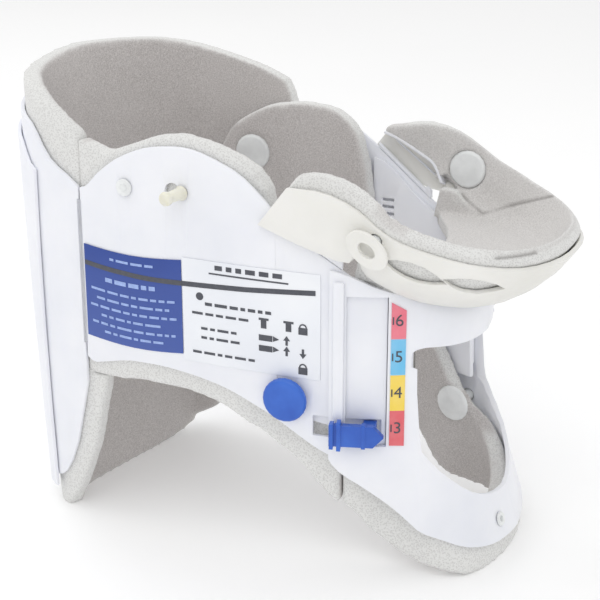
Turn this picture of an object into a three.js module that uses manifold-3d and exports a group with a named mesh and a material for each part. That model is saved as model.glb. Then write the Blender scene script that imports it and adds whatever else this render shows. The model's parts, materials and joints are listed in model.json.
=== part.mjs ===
// Adjustable extrication collar, closed in a loop, built from sheet panels and foam pads.
// Millimetres, +Z up. The wearer faces -Y; "near" is the wearer's right (-X), "far" the left (+X).
import * as THREE from "three";
import * as BufferGeometryUtils from "three/addons/utils/BufferGeometryUtils.js";
import Module from "manifold-3d";

const wasm = await Module();
wasm.setup();

// ---- driving dimensions --------------------------------------------------------------------
const PLASTIC = 1.4;             // sheet thickness of every moulded panel
const FOAM = 6;                  // thickness of the side, back and chest foam
const CHIN_FOAM = 5;             // thickness of the chin foam
const GAP = 0.3;                 // clearance between neighbouring pieces
const LABEL = 0.25;              // printed label with its cover film
const LABEL_GAP = 0.1;

const HINGE_S = 1.3;             // living hinge between the near side panel and the back panel
const PANEL_FRONT = 104;         // front edge of the side panels, inside the guide legs
const LEG_REAR = 87;             // rear edge of the guide legs of the front plate
const HALF_LOOP = 148;           // length of the wall from the start of one side to the front centre
const LOOP = 2 * HALF_LOOP;

const LATCH = { s: 94.3, z: 46.4 };        // size latch, at the smallest setting
const LOCK = { s: 73.5, z: 54.6, radius: 7 };
const SLOT_PITCH = 2.45;                   // one step of height
const SETTINGS = 16;
const SCALE = { from: 104.9, to: 109.2, bottom: 42, cell: 11.5, cells: 4 };

const rad = THREE.MathUtils.degToRad;
const lerp = THREE.MathUtils.lerp;
const smoothstep = THREE.MathUtils.smoothstep;

// ---- the wall of the collar in plan ----------------------------------------------------------
// The near half of the wall, as tangent arcs. Heading 0 runs to -Y and grows towards +X.
const NEAR_START = { x: -39.5, y: -1, heading: rad(-7) };
const NEAR_ARCS = [
  { length: 82, heading: rad(5) },     // side panel, bowed slightly outwards
  { length: 31, heading: rad(35) },    // guide leg, curving to the front
  { length: 4, heading: rad(61) },     // front corner of the leg
  { length: 31, heading: rad(90) },    // throat band and chest, to the centre line
];

function nearWall(s) {
  let { x, y, heading } = NEAR_START;
  let left = s;
  NEAR_ARCS.forEach((arc, i) => {
    const last = i === NEAR_ARCS.length - 1;
    const run = last ? left : Math.min(left, arc.length);
    const turn = (arc.heading - heading) / arc.length;
    const end = heading + turn * run;
    x += (Math.cos(heading) - Math.cos(end)) / turn;
    y -= (Math.sin(end) - Math.sin(heading)) / turn;
    left -= run;
    heading = end;
  });
  return { x, y, heading };
}

// The lower front flares outwards to follow the chest.
const FLARE = { out: 14.2, top: 66, power: 1.7, from: 103, to: 126 };
// The far side panel tucks inwards, under the free end of the back panel.
const TUCK = 7.4;

// A point of the loop: s runs from the near side round the front to the far side.
function wall(s, z, offset) {
  const far = s > HALF_LOOP;
  const run = far ? LOOP - s : s;
  const { x, y, heading } = nearWall(run);
  const low = THREE.MathUtils.clamp(1 - z / FLARE.top, 0, 1) ** FLARE.power;
  const flare = FLARE.out * smoothstep(run, FLARE.from, FLARE.to) * low;
  const tuck = far ? TUCK * (1 - smoothstep(run, 36, 68)) : 0;
  const out = offset + flare - tuck;
  const px = x - Math.cos(heading) * out;
  return new THREE.Vector3(far ? -px : px, y - Math.sin(heading) * out, z);
}

// The back of the collar in plan: a half ring at the rim that grows square and shallow towards
// the bottom. q is the angle in degrees from the far side (0) over the back (90) to the near side
// (180); below 0 and above 180 it runs on forwards in millimetres.
const BACK_Y = -2;
const BACK_NEAR = 39.6;
const BACK_FAR = 43.2;
const BACK_TOP = 135;

function backOutline(q, z) {
  const angle = rad(THREE.MathUtils.clamp(q, 0, 180));
  const rise = THREE.MathUtils.clamp(z / BACK_TOP, 0, 1.1);
  const depth = lerp(18, 37.5, rise);
  const power = 2 / lerp(3.2, 2, rise);
  const half = lerp(BACK_NEAR, BACK_FAR, (1 + Math.cos(angle)) / 2);
  const cos = Math.cos(angle);
  const sin = Math.max(0, Math.sin(angle));
  const x = half * Math.sign(cos) * Math.abs(cos) ** power;
  const ahead = q < 0 ? q : Math.min(0, 180 - q);
  const skew = lerp(0.2, 0, rise) * x * sin;
  return new THREE.Vector3(x, BACK_Y + depth * sin ** power - skew + ahead, z);
}

function back(q, z, offset) {
  const step = 0.5;
  const tangent = backOutline(q + step, z).sub(backOutline(q - step, z)).normalize();
  return backOutline(q, z).add(new THREE.Vector3(tangent.y, -tangent.x, 0).multiplyScalar(offset));
}

// ---- outlines and sheets ---------------------------------------------------------------------
// A smooth height through a few stations [position, height], flat past both ends.
function through(...stations) {
  const slope = (i) => {
    if (i <= 0 || i >= stations.length - 1) return 0;
    const [a, b, c] = [stations[i - 1], stations[i], stations[i + 1]];
    const before = (b[1] - a[1]) / (b[0] - a[0]);
    const after = (c[1] - b[1]) / (c[0] - b[0]);
    return before * after <= 0 ? 0 : 2 * before * after / (before + after);
  };
  return (s) => {
    if (s <= stations[0][0]) return stations[0][1];
    if (s >= stations.at(-1)[0]) return stations.at(-1)[1];
    const i = stations.findIndex((_, k) => s < stations[k + 1][0]);
    const [[s0, z0], [s1, z1]] = [stations[i], stations[i + 1]];
    const run = s1 - s0;
    const t = (s - s0) / run;
    return (2 * t ** 3 - 3 * t ** 2 + 1) * z0 + (t ** 3 - 2 * t ** 2 + t) * run * slope(i)
      + (3 * t ** 2 - 2 * t ** 3) * z1 + (t ** 3 - t ** 2) * run * slope(i + 1);
  };
}

// Evenly spaced stations from one position to another, with extra ones where an edge is steep.
function stations(from, to, count, ...extra) {
  const even = Array.from({ length: count + 1 }, (_, i) => lerp(from, to, i / count));
  const near = (s) => extra.some((e) => Math.abs(e - s) < 0.35 * (to - from) / count);
  return [...even.filter((s, i) => i === 0 || i === count || !near(s)), ...extra].sort((a, b) => a - b);
}

// A closed sheet: columns at the given stations, rows between two heights, inner to outer face.
function sheet(place, at, bottom, top, inner, outer, rows = 6) {
  const geometry = new THREE.BoxGeometry(1, 1, 1, at.length - 1, rows, 1);
  const position = geometry.attributes.position;
  for (let i = 0; i < position.count; i++) {
    const s = at[Math.round((position.getX(i) + 0.5) * (at.length - 1))];
    const z = lerp(bottom(s), top(s), position.getY(i) + 0.5);
    const [low, high] = [inner, outer].map((face) => (typeof face === "function" ? face(s) : face));
    const p = place(s, z, lerp(low, high, position.getZ(i) + 0.5));
    position.setXYZ(i, p.x, p.y, p.z);
  }
  return geometry;
}

// The same outline on the other side of the centre line.
const mirrored = (outline) => (s) => outline(LOOP - s);
const flip = (at) => at.map((s) => LOOP - s).reverse();

// ---- solids ----------------------------------------------------------------------------------
function solid(geometry) {
  const bare = geometry.index ? geometry.clone() : BufferGeometryUtils.mergeVertices(geometry);
  bare.deleteAttribute("normal");
  bare.deleteAttribute("uv");
  const merged = BufferGeometryUtils.mergeVertices(bare, 1e-4);
  const mesh = new wasm.Mesh({
    numProp: 3,
    vertProperties: merged.attributes.position.array,
    triVerts: new Uint32Array(merged.index.array),
  });
  mesh.merge();
  return new wasm.Manifold(mesh);
}

function geometryOf(body) {
  const mesh = body.getMesh();
  const geometry = new THREE.BufferGeometry();
  geometry.setAttribute("position", new THREE.BufferAttribute(mesh.vertProperties, 3));
  geometry.setIndex(new THREE.BufferAttribute(mesh.triVerts, 1));
  return geometry;
}

function cut(geometry, ...tools) {
  return geometryOf(tools.reduce((body, tool) => body.subtract(solid(tool)), solid(geometry)));
}

// Axes at a point of a surface: x along it, y up, z outwards.
function axesAt(place, s, z, offset = 0) {
  const at = place(s, z, offset);
  const along = place(s + 0.5, z, offset).sub(place(s - 0.5, z, offset)).normalize();
  const up = place(s, z + 0.5, offset).sub(place(s, z - 0.5, offset)).normalize();
  const out = along.clone().cross(up).normalize();
  return new THREE.Matrix4().makeBasis(along, out.clone().cross(along), out).setPosition(at);
}

const put = (geometry, matrix) => geometry.applyMatrix4(matrix);

// A round tool or piece that stands along the outward axis, from one depth to another.
function post(radius, from, to, sides = 16) {
  const geometry = new THREE.CylinderGeometry(radius, radius, to - from, sides);
  return geometry.rotateX(Math.PI / 2).translate(0, 0, (from + to) / 2);
}

const block = (w, h, from, to) => new THREE.BoxGeometry(w, h, to - from).translate(0, 0, (from + to) / 2);

// A turned piece along the outward axis, from [radius, depth] pairs that start and end on the axis.
function turned(profile, sides = 24) {
  const points = profile.map(([r, d]) => new THREE.Vector2(r, d));
  return new THREE.LatheGeometry(points, sides).rotateX(Math.PI / 2);
}

const hole = (place, s, z, radius, from = -14, to = 6) => put(post(radius, from, to), axesAt(place, s, z));

// ---- materials -------------------------------------------------------------------------------
const finish = (color, roughness) => new THREE.MeshStandardMaterial({ color, roughness, metalness: 0 });
const panelPlastic = () => finish(0xeef0f5, 0.42);
const chinPlastic = () => finish(0xe9e6df, 0.5);
const greyFoam = () => finish(0xb9b6b2, 0.95);
const rivetPlastic = () => finish(0xd6d6d4, 0.5);
const bluePlastic = () => finish(0x3f6fc9, 0.4);

const group = new THREE.Group();

function add(name, geometry, material) {
  const mesh = new THREE.Mesh(geometry, material);
  mesh.name = name;
  group.add(mesh);
}

// ---- outlines on the side walls --------------------------------------------------------------
const nearPanelTop = through([2, 112], [10, 118.6], [18, 124], [29, 128], [39, 129], [56, 124], [66, 116],
  [70, 111.5], [87, 99], [104, 90]);
const farPanelTop = through([14, 104], [17, 108.5], [21, 115], [28, 119.6], [37, 123.3], [46, 124.4],
  [55, 123], [61, 120], [66, 116.5], [70, 113.5], [91, 97.5], [104, 90]);
const panelBottom = through([1.6, 55.5], [4, 53.9], [8, 54.8], [20, 57.3], [30, 57.6], [38, 57],
  [50.5, 54.8], [66.5, 48.3], [88, 36.5], [104, 32.5]);
const nearPadTop = through([1.6, 127], [5, 125.4], [10.5, 124], [15, 125.4], [22, 128], [30, 130.8],
  [38, 131.8], [45, 131], [52, 129.2], [64, 122.3], [68, 112], [74, 66], [80, 58], [90, 44]);
const farPadTop = through([14, 108], [17, 112.5], [21, 119], [28, 123.6], [37, 127.3], [46, 128.3],
  [55, 127], [61, 124], [67, 116.5], [72, 88], [76, 64], [80, 58], [90, 44]);
const sidePadBottom = through([1.6, 49.5], [10, 49.3], [25, 50.5], [37, 50], [49.5, 47.5], [59.5, 42.4],
  [77, 30.8], [90, 19.3]);
const sidePadInset = (s) => -PLASTIC - GAP - 1.8 * smoothstep(s, 56, 66);

// Both sides of the loop. s gives the place on the loop of a position on the near side, and the
// far panel is shorter at the rear, where it tucks under the back panel.
const SIDES = [
  {
    name: "near",
    s: (s) => s,
    span: (at) => at,
    outline: (f) => f,
    rear: HINGE_S + GAP,
    panelTop: nearPanelTop,
    padTop: nearPadTop,
    rivet: { s: 19, z: 114.4 },
  },
  {
    name: "far",
    s: (s) => LOOP - s,
    span: flip,
    outline: mirrored,
    rear: 14,
    panelTop: farPanelTop,
    padTop: farPadTop,
    rivet: { s: 28.5, z: 110.3 },
  },
];

// The collar stands on the foot of its front and back foam.
const FOOT = -2.5;

const legTop = through([87, 97], [93, 95.5], [100, 92.5], [111, 89], [125, 85.5], [148, 82.5]);
const chestBottom = through([87, 36.5], [88.5, 34], [98.5, 27], [108.5, 19], [117, 11], [124.5, 7.2],
  [135.5, 4.3], [148, 3.6]);
const chestPadTop = through([91, 58], [100, 50.5], [106, 43], [112, 34], [121, 24], [129, 17], [148, 12.5]);
const chestPadBottom = through([90.6, 18.8], [102, 8.7], [109, 4], [115, 1.2], [121, -1.2], [126, FOOT],
  [148, FOOT]);
const chestPadInset = (s) => -GAP - 3.2 * (1 - smoothstep(Math.min(s, LOOP - s), 112.6, 119));

// ---- side panels -----------------------------------------------------------------------------
const HOOK = { s: 39.3, z: 115.2 };         // tubing hook, with the half-round window behind it
const LATCH_SLOT = { from: 81.7, to: 102.6, height: 6.6 };
const PAD_HOLE = 2.3;
const SIDE_FOAM_FACE = -PLASTIC - GAP - FOAM;
const DISC = { radius: 6.3, sunk: 1.1 };    // a rivet's disc, pulled into the foam

function sidePanel(side) {
  const at = side.span(stations(side.rear, PANEL_FRONT, 30, 3.2, 5));
  const panel = sheet(wall, at, side.outline(panelBottom), side.outline(side.panelTop), -PLASTIC, 0, 1);
  const slotMiddle = (LATCH_SLOT.from + LATCH_SLOT.to) / 2;
  const slot = put(block(LATCH_SLOT.to - LATCH_SLOT.from, LATCH_SLOT.height, -4, 4),
    axesAt(wall, side.s(slotMiddle), LATCH.z));
  const hookHoles = side.name === "near"
    ? [hole(wall, HOOK.s - 3.4, HOOK.z, 2.6, -4, 4), hole(wall, HOOK.s, HOOK.z, 1.9, -4, 4)] : [];
  return cut(panel, slot, ...hookHoles,
    hole(wall, side.s(side.rivet.s), side.rivet.z, PAD_HOLE),
    hole(wall, side.s(LOCK.s), LOCK.z, 3.3, -4, 4));
}

function sidePad(side) {
  const at = side.span(stations(side.rear, 90, 26, 66, 69, 71.5, 74));
  const inset = side.outline(sidePadInset);
  const pad = sheet(wall, at, side.outline(sidePadBottom), side.outline(side.padTop),
    (s) => inset(s) - FOAM, inset, 1);
  return cut(pad, ...rivetSeat(side.s(side.rivet.s), side.rivet.z, SIDE_FOAM_FACE));
}

// The tools for a rivet's hole through a pad and the seat of its disc.
function rivetSeat(s, z, foamFace) {
  return [hole(wall, s, z, PAD_HOLE), hole(wall, s, z, DISC.radius + GAP, -20, foamFace + DISC.sunk + GAP)];
}

// The disc of a foam rivet, as radius and height of its profile from the axis to the shank.
function discProfile(foamFace) {
  const top = foamFace + DISC.sunk;
  return [[0, top - 1.5], [5.6, top - 1.4], [DISC.radius, top - 0.6], [DISC.radius, top], [2, top]];
}

// A push rivet: a wide disc on the foam, a shank through the pad and its panel, and a ring head.
function padRivet(foamFace, outerFace) {
  return turned([...discProfile(foamFace), [2, outerFace + GAP], [2.9, outerFace + GAP],
    [2.6, outerFace + 1], [1.3, outerFace + 0.9], [1.1, outerFace + 0.4], [0, outerFace + 0.4]], 18);
}

// A rivet that ends in the thickness of the plate that it holds, with no head outside.
function blindRivet(foamFace, outerFace) {
  return turned([...discProfile(foamFace), [2, outerFace - 0.1], [0, outerFace - 0.1]], 18);
}

// The hook that holds an oxygen tube: a leaning stub with a mushroom end.
function tubeHook() {
  const stub = turned([[0, -0.9], [1.6, -0.9], [1.6, 0.3], [2.5, 0.3], [1.9, 1.2], [1.7, 6.6], [2.2, 7.2],
    [2.2, 8.4], [1.6, 9], [0, 9.1]], 14);
  return stub.rotateY(rad(-8));
}

// The rolled bead along the upper front edge of a side panel, with a small stop at its end.
const BEAD = { from: 70.5, to: 90.5, lift: 0.3, height: 1.3 };

function edgeBead(side) {
  const at = side.span(stations(BEAD.from, BEAD.to, 6, 88.4, 88.6));
  const lower = (s) => side.panelTop(s) + BEAD.lift;
  const upper = (s) => lower(s) + (s > 88.5 ? 2.6 : BEAD.height);
  return sheet(wall, at, side.outline(lower), side.outline(upper), -PLASTIC - 0.2, -0.1, 1);
}

// ---- safety locks and latches ----------------------------------------------------------------
// The safety lock: a round button whose pin stands in the panel, just short of the ladder.
function safetyLock() {
  return turned([[0, -1.3], [2.6, -1.3], [2.6, 1.2], [6.4, 1.2], [LOCK.radius, 1.9], [LOCK.radius, 3],
    [6.4, 3.7], [5, 3.9], [0, 3.9]], 24);
}

// The latch: an arrow-shaped slide with two finger ribs, and a foot through the guide window that
// runs in the slot of the side panel. Local x runs towards the front, z outwards.
function latch() {
  const [rear, shoulder, tip, half] = [-7, 6.3, 9.5, 3.4];
  const arrow = new THREE.Shape();
  arrow.moveTo(rear, -half);
  arrow.lineTo(shoulder, -half);
  arrow.lineTo(tip, 0);
  arrow.lineTo(shoulder, half);
  arrow.lineTo(rear, half);
  const plate = new THREE.ExtrudeGeometry(arrow, { depth: 2.2, bevelEnabled: false }).translate(0, 0, 3.6);
  const rib = (x, height, top) => block(1.2, height, 3.6, top).translate(x, 0, 0);
  const foot = block(4, 5.6, -1.2, 4).translate(5, 0, 0);
  return geometryOf([rib(-6.2, 8, 6.8), rib(-4, 9.2, 6.6), rib(3.4, 7.6, 6), foot]
    .reduce((body, piece) => body.add(solid(piece)), solid(plate)));
}

// ---- labels and the closure patch ------------------------------------------------------------
const STICKER = { from: 2.6, to: 38.4, bottom: 63.4, top: 94, sag: 1.3 };
const CLEAR_LABEL = { from: 38.8, to: 84, bottom: 61.5, top: 95, sag: 0 };
const LOOP_PATCH = { from: 47, to: 85.5, bottom: 64, top: 97, sag: 0 };

// A label or patch on a side panel. The sizing sticker hangs slightly bowed between its ends.
function label({ from, to, bottom, top, sag }, side, thick = LABEL) {
  const at = side.span(stations(from, to, 8));
  const bow = (s) => sag * Math.sin(Math.PI * (s - from) / (to - from));
  return sheet(wall, at, (s) => bottom - bow(s), (s) => top - bow(s), LABEL_GAP, LABEL_GAP + thick, 1);
}

// ---- front plate and its guides --------------------------------------------------------------
const WINDOW = { from: 91.8, to: 104.2, bottom: 41.5, top: 89.5 };
const CHEST_RIVET = { s: 108.5, z: 31.5 };
const FRONT_RIVET = { s: HALF_LOOP - 9.6, z: 9.6 };
const bothSides = (outline) => (s) => outline(Math.min(s, LOOP - s));

// The throat opening, seen from the front: a dipping top edge, straight sides with a small step,
// and a round bottom.
function throatOpening() {
  const [upperHalf, half, top, dip, step, springs, bottom] = [33, 32, 73.6, 66, 66.5, 39.5, 17.6];
  const outline = new THREE.Shape();
  outline.moveTo(-half, springs);
  outline.quadraticCurveTo(-half * 0.72, bottom, 0, bottom);
  outline.quadraticCurveTo(half * 0.72, bottom, half, springs);
  outline.lineTo(half, step);
  outline.lineTo(upperHalf, step + 0.8);
  outline.lineTo(upperHalf, top - 3);
  outline.quadraticCurveTo(upperHalf, top, upperHalf - 4, top - 0.8);
  outline.quadraticCurveTo(0, dip, 4 - upperHalf, top - 0.8);
  outline.quadraticCurveTo(-upperHalf, top, -upperHalf, top - 3);
  outline.lineTo(-upperHalf, step + 0.8);
  outline.lineTo(-half, step);
  const tool = new THREE.ExtrudeGeometry(outline, { depth: 60, bevelEnabled: false, curveSegments: 8 });
  return tool.rotateX(Math.PI / 2).translate(0, -95, 0);
}

function frontPlate() {
  const near = stations(LEG_REAR, HALF_LOOP, 20, 88, 113, 117);
  const at = [...near, ...flip(near).slice(1)];
  const plate = sheet(wall, at, bothSides(chestBottom), bothSides(legTop), GAP, GAP + PLASTIC, 5);
  const windows = SIDES.map((side) => {
    const middle = (WINDOW.from + WINDOW.to) / 2;
    const tool = block(WINDOW.to - WINDOW.from, WINDOW.top - WINDOW.bottom, -8, 8);
    return put(tool, axesAt(wall, side.s(middle), (WINDOW.bottom + WINDOW.top) / 2));
  });
  const chestHoles = SIDES.map((side) =>
    hole(wall, side.s(CHEST_RIVET.s), CHEST_RIVET.z, PAD_HOLE, -14, 1.1));
  return cut(plate, throatOpening(), ...windows, ...chestHoles,
    hole(wall, FRONT_RIVET.s, FRONT_RIVET.z, 1.8));
}

// A small hollow rivet low on the front.
function frontRivet() {
  const head = GAP + PLASTIC + GAP;
  return turned([[0, 0.05], [1.4, 0.05], [1.4, head], [2.4, head], [2.1, head + 0.6], [1, head + 0.5],
    [0.9, 0.6], [0, 0.6]], 14);
}

// The guide rail behind each side panel, with a ladder of slots for the safety lock.
const RAIL_FACE = -PLASTIC - GAP;
const RAIL = { from: 69.5, to: 112.4 };
const railTop = through([69.5, 110], [87, 97.5], [104, 89], [112.4, 86]);
const railBottom = through([69.5, 48], [88, 46], [104, 40], [112.4, 40]);

function guideRail(side) {
  const at = side.span(stations(RAIL.from, RAIL.to, 12));
  const rail = sheet(wall, at, side.outline(railBottom), side.outline(railTop), RAIL_FACE - PLASTIC,
    RAIL_FACE, 3);
  const ladder = Array.from({ length: SETTINGS + 1 }, (_, i) =>
    put(block(4.4, 1.1, -5, 1), axesAt(wall, side.s(LOCK.s + 1.6), LOCK.z + 2 + i * SLOT_PITCH)));
  return cut(rail, ...ladder);
}

// The spacer that joins a guide leg to its rail, in front of the edge of the side panel.
function railSpacer(side) {
  const at = side.span(stations(107.5, 111, 2));
  return sheet(wall, at, () => 44, () => 84, RAIL_FACE + 0.2, GAP - 0.2, 3);
}

// The raised rack bead along the rear side of each guide window.
function rackBead(side) {
  const at = side.span(stations(88.3, 91.4, 2));
  const base = GAP + PLASTIC + GAP;
  return sheet(wall, at, () => 49.8, () => 94, base, base + 1, 1);
}

function sizeScale(side) {
  const at = side.span(stations(SCALE.from, SCALE.to, 2));
  const top = (s) => SCALE.bottom + SCALE.cells * SCALE.cell - 0.6 * (s - SCALE.from);
  const face = GAP + PLASTIC + LABEL_GAP;
  return sheet(wall, at, () => SCALE.bottom, side.outline(top), face, face + LABEL, 4);
}

// The ribbed thumb grip on the outside of the far leg.
const GRIP = { s: 111.5, z: 66, half: 8, width: 8.4 };

function gripTab() {
  const base = GAP + PLASTIC + 2 * GAP + LABEL;
  const oval = new THREE.CylinderGeometry(GRIP.half, GRIP.half, 1.6, 24).rotateX(Math.PI / 2);
  oval.scale(GRIP.width / (2 * GRIP.half), 1, 1).translate(0, 0, base + 0.8);
  const ribs = [-5, -2.5, 0, 2.5, 5].map((z) => {
    const reach = GRIP.width * Math.sqrt(1 - (z / GRIP.half) ** 2) - 1;
    return block(reach, 1.1, base + 1, base + 2.6).translate(0, z, 0);
  });
  return geometryOf(ribs.reduce((body, rib) => body.add(solid(rib)), solid(oval)));
}

function chestPad() {
  const near = stations(90.6, HALF_LOOP, 22);
  const at = [...near, ...flip(near).slice(1)];
  const pad = sheet(wall, at, bothSides(chestPadBottom), bothSides(chestPadTop),
    (s) => chestPadInset(s) - FOAM, chestPadInset, 3);
  const foamFace = chestPadInset(CHEST_RIVET.s) - FOAM;
  return cut(pad, ...SIDES.flatMap((side) => rivetSeat(side.s(CHEST_RIVET.s), CHEST_RIVET.z, foamFace)));
}

// ---- chin cup and pad ------------------------------------------------------------------------
// Lower edge of the cup along the outside of the wall: [s, z, offset].
const CUP_LOWER = [[65, 109, 2.1], [80, 103.5, 2.2], [92.5, 100, 2.3], [94.6, 102, 2.4], [97, 97, 2.8],
  [104, 92.4, 3.3], [111, 89, 3.7], [120, 85.5, 3.9], [134, 81.5, 4], [HALF_LOOP, 80, 4]];
// Lip of the cup, a broad leaf that dips towards the chin: [x, y, z].
const CUP_LIP = [[-43.8, -75, 120.9], [-43.6, -86, 120.8], [-44.8, -97, 117.2], [-45.3, -104, 112.4],
  [-44.6, -110, 109], [-41.6, -121, 105.2], [-37, -132, 102.2], [-27.4, -142.5, 99.9],
  [-14.4, -149, 99.4], [0, -151, 99.6]];

// A smooth curve over both sides through points of the near half.
function acrossCurve(nearPoints) {
  const farPoints = nearPoints.slice(0, -1).reverse().map((p) => new THREE.Vector3(-p.x, p.y, p.z));
  return new THREE.CatmullRomCurve3([...nearPoints, ...farPoints], false, "centripetal");
}

const onWall = ([s, z, offset]) => {
  const { x, y, heading } = nearWall(s);
  return new THREE.Vector3(x - Math.cos(heading) * offset, y - Math.sin(heading) * offset, z);
};
const cupLower = acrossCurve(CUP_LOWER.map(onWall));
const cupLip = acrossCurve(CUP_LIP.map((p) => new THREE.Vector3(...p)));

// A bowl-shaped sheet between a lower edge and a lip. t runs round the edge and v up to the lip.
function bowl(lower, lip, bulge) {
  const middle = new THREE.Vector3(0, -105, 150);
  const skin = (t, v) => {
    const p = lower.getPoint(t).lerp(lip.getPoint(t), v);
    const away = p.clone().sub(middle).normalize();
    return p.addScaledVector(away, bulge * Math.sin(Math.PI * t) ** 0.5 * Math.max(0, 4 * v * (1 - v)));
  };
  return (t, v, offset) => {
    const step = 0.01;
    const [t0, t1] = [Math.max(0, t - step), Math.min(1, t + step)];
    const along = skin(t1, v).sub(skin(t0, v));
    const up = skin(t, v + step).sub(skin(t, v - step));
    return skin(t, v).addScaledVector(along.cross(up).normalize(), offset);
  };
}

const cupSkin = bowl(cupLower, cupLip, 3);
const CUP_CUTS = [
  { at: [-40.6, -113.8, 101.1], length: 20, height: 6 },
  { at: [-34.9, -129.8, 96.5], length: 20, height: 6 },
];
const EYELET = [-44.5, -101.8, 107.4];

// The chin foam lines the cup. Its lower edge climbs the wings towards the rear, and its upper edge
// stands a little above the lip, in millimetres up the slope.
const CHIN_FACE = -PLASTIC - 2 * GAP;
const CHIN_STATIONS = stations(0, 1, 44);
const padLower = through([0, 0.92], [0.056, 0.72], [0.09, 0.56], [0.106, 0.3], [0.122, 0.09], [0.5, 0.09]);
const padAbove = through([0, 4.4], [0.06, 4], [0.12, 2.6], [0.17, 1.4], [0.25, 1.6], [0.4, 0.8], [0.5, 0.4],
  [0.6, 1], [0.76, 4], [0.92, 3.8], [1, 0.8]);
const padUpper = (t) => 1 + padAbove(t) / cupLower.getPoint(t).distanceTo(cupLip.getPoint(t));

// The t and v of the place on a bowl that is nearest to a point of its near half.
function nearest(place, point) {
  const target = new THREE.Vector3(...point);
  const steps = 60;
  const grid = Array.from({ length: (steps + 1) ** 2 }, (_, i) => {
    const [t, v] = [(i % (steps + 1)) / steps / 2, Math.floor(i / (steps + 1)) / steps];
    return { t, v, distance: place(t, v, 0).distanceTo(target) };
  });
  return grid.reduce((best, p) => (p.distance < best.distance ? p : best));
}

// Axes at a point of a bowl, whose t and v run from 0 to 1.
function axesOn(place, t, v) {
  const scale = 0.02;
  return axesAt((a, b, offset) => place(t + (a - t) * scale, v + (b - v) * scale, offset), t, v);
}

// A leaf-shaped opening tool along the outward axis.
function leafTool(length, height) {
  const leaf = new THREE.Shape();
  leaf.moveTo(-length / 2, 0);
  leaf.quadraticCurveTo(0, height, length / 2, 0);
  leaf.quadraticCurveTo(0, -height, -length / 2, 0);
  const tool = new THREE.ExtrudeGeometry(leaf, { depth: 8, bevelEnabled: false, curveSegments: 5 });
  return tool.translate(0, 0, -4);
}

const bothWays = (t) => [t, 1 - t];
const eyeletAt = nearest(cupSkin, EYELET);
const chinRivetAt = { t: eyeletAt.t, v: eyeletAt.v + 0.14 };

// Round tools along both chin rivets.
function chinRivetTools(radius, from, to) {
  return bothWays(chinRivetAt.t).map((t) => put(post(radius, from, to), axesOn(cupSkin, t, chinRivetAt.v)));
}

function chinCup() {
  const cup = sheet(cupSkin, CHIN_STATIONS, () => 0, () => 1, -PLASTIC, 0, 4);
  const leaves = CUP_CUTS.flatMap(({ at, length, height }) => {
    const { t, v } = nearest(cupSkin, at);
    return bothWays(t).map((side) => put(leafTool(length, height), axesOn(cupSkin, side, v)));
  });
  return cut(cup, ...leaves, ...chinRivetTools(PAD_HOLE, -4, 4));
}

// The foam that the chin rests on. Each rivet's disc is sunk in it, as it pulls the foam in.
function chinPad() {
  const bottom = (t) => padLower(Math.min(t, 1 - t));
  const pad = sheet(cupSkin, CHIN_STATIONS, bottom, padUpper, CHIN_FACE - CHIN_FOAM, CHIN_FACE, 4);
  const floor = CHIN_FACE - CHIN_FOAM + DISC.sunk + GAP;
  return cut(pad, ...chinRivetTools(PAD_HOLE, -12, 4), ...chinRivetTools(DISC.radius + GAP, -20, floor));
}

// The oval eyelet on the outside of the cup: a ring round a slot.
const EYELET_LIFT = 1.5;

function eyelet() {
  const ring = new THREE.Shape();
  ring.absellipse(0, 0, 7, 4.9, 0, 2 * Math.PI);
  const slot = new THREE.Path();
  slot.absellipse(0, 0, 2.9, 2.1, 0, 2 * Math.PI);
  ring.holes.push(slot);
  return new THREE.ExtrudeGeometry(ring, { depth: 1.3, bevelEnabled: false, curveSegments: 12 })
    .translate(0, 0, EYELET_LIFT);
}

// The rivet through chin foam and cup: a wide disc in the foam and a shank that ends in the cup.
function chinRivet() {
  const back = CHIN_FACE - CHIN_FOAM + DISC.sunk;
  const { radius } = DISC;
  const end = -0.2;
  return turned([[0, back - 1.5], [radius - 0.7, back - 1.4], [radius, back - 0.6], [radius, back],
    [1.7, back], [1.7, end], [0, end]], 18);
}

// ---- back panel ------------------------------------------------------------------------------
const BACK_FAR_END = -44;
const backTop = through([BACK_FAR_END, 112], [-36, 120], [-20, 128], [0, 133], [40, 135], [90, 134],
  [130, 131], [146, 129], [164, 119], [176, 114.5], [180, 112]);
const backBottom = through([BACK_FAR_END, 62], [-34, 42], [-18, 20], [-8, 12], [4, 7], [60, 5],
  [130, 7.5], [148, 8.3], [158, 9.6], [165, 12.5], [173, 21], [178, 33], [180, 46]);
const backPadTop = through([-40, 125], [-38.5, 130.4], [-36.5, 134.2], [-32, 136.4], [-23, 139.4],
  [-8, 142.8], [0, 144], [32, 145.5], [63, 145.3], [90, 143.4], [130, 140.6], [142, 138.8], [162, 134],
  [176, 129.6], [179.8, 127.6], [180.6, 49], [186, 48.9]);
const backPadBottom = through([-40, 52], [-30, 34], [-14, 15], [-6, 7], [4, 3], [39, 0.3], [72, FOOT],
  [158, FOOT], [164, 0.5], [170, 4], [177, 12], [181, 23], [184, 37], [186, 45]);

function backPanel() {
  const at = stations(BACK_FAR_END, 180, 40, -41);
  return sheet(back, at, backBottom, backTop, -PLASTIC, 0, 4);
}

function backPad() {
  const at = stations(-40, 186, 42, -38.5, -36.5, 72, 158, 178, 179.8, 180.6, 182, 184);
  return sheet(back, at, backPadBottom, backPadTop, -PLASTIC - GAP - FOAM, -PLASTIC - GAP, 4);
}

// The outer stiffener, stepped in from the edge of the back panel.
function backStiffener() {
  const at = stations(20, 154, 24);
  const top = through([20, 122], [40, 127], [90, 127], [135, 123], [154, 115]);
  return sheet(back, at, () => 5, top, GAP, GAP + 1.2, 4);
}

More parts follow.
